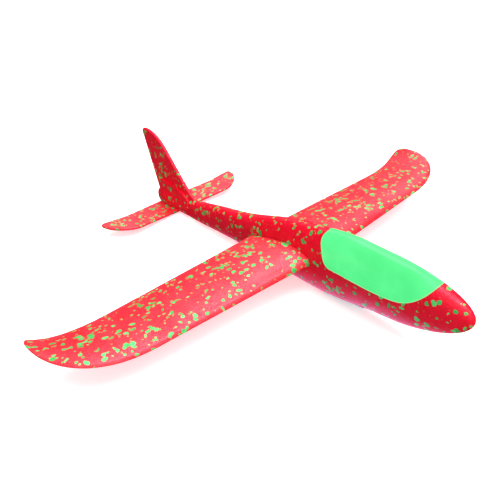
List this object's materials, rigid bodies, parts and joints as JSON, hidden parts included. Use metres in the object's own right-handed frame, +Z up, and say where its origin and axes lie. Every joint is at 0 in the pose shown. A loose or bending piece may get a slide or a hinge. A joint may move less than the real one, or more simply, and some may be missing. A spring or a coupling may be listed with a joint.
{
  "type": "hand-throw foam glider",
  "caption": "Hand-throw glider moulded in beaded foam, with two plug-in wing panels, a slide-in tailplane, a fixed fin and a lit translucent cockpit over a belly battery unit.",
  "frame": {"origin": "under the middle of the model's length, on its centre plane, on the flat land moulded under the belly", "axes": "+X to the nose, +Y to the port wing tip, +Z up"},
  "size_m": [0.436, 0.4744, 0.0993],
  "materials": {
    "red_foam": "matte",
    "canopy_green": "satin",
    "black_plastic": "satin",
    "screw_steel": "satin",
    "cell_steel": "polished",
    "spring_steel": "polished",
    "board_green": "satin",
    "chip_black": "satin",
    "lamp_green": "gloss",
    "switch_black": "satin",
    "switch_white": "satin",
    "button_grey": "matte"
  },
  "bodies": {
    "airframe": {"fuselage": "red_foam", "canopy": "canopy_green", "light_housing": "black_plastic", "button_cell_1": "cell_steel", "button_cell_2": "cell_steel", "button_cell_3": "cell_steel", "contact_spring": "spring_steel", "spring_plate": "spring_steel", "contact_plate": "spring_steel", "circuit_board": "board_green", "board_screws": "screw_steel", "driver_chip": "chip_black", "resistors": "chip_black", "led_rear": "lamp_green", "led_front": "lamp_green", "switch_body": "switch_black", "switch_spring": "spring_steel"},
    "left_wing": {"wing_left": "red_foam"},
    "right_wing": {"wing_right": "red_foam"},
    "tail_surface": {"tailplane": "red_foam"},
    "power_button": {"button_cap": "button_grey", "switch_plunger": "switch_white"},
    "hatch": {"battery_cover": "black_plastic"},
    "hatch_screw": {"cover_screw": "screw_steel"}
  },
  "joints": [
    {"name": "left_wing_slide", "type": "slide", "parent": "airframe", "child": "left_wing", "axis": [0, 1, 0], "range_m": [0, 0.03]},
    {"name": "right_wing_slide", "type": "slide", "parent": "airframe", "child": "right_wing", "axis": [0, -1, 0], "range_m": [0, 0.03]},
    {"name": "tailplane_slide", "type": "slide", "parent": "airframe", "child": "tail_surface", "axis": [-1, 0, 0], "range_m": [0, 0.06]},
    {"name": "power_button_press", "type": "slide", "parent": "airframe", "child": "power_button", "axis": [-0.1219, 0, 0.9925], "range_m": [0, 0.0012], "stiffness_N_per_m": 400, "springref_m": -0.0005, "deforming": ["switch_spring"]},
    {"name": "hatch_slide", "type": "slide", "parent": "airframe", "child": "hatch", "axis": [0.1219, 0, -0.9925], "range_m": [0, 0.02]},
    {"name": "hatch_screw_turn", "type": "hinge", "parent": "hatch", "child": "hatch_screw", "pos_m": [0.11324, 0, 0.0083], "axis": [0.1219, 0, -0.9925], "continuous": true}
  ]
}
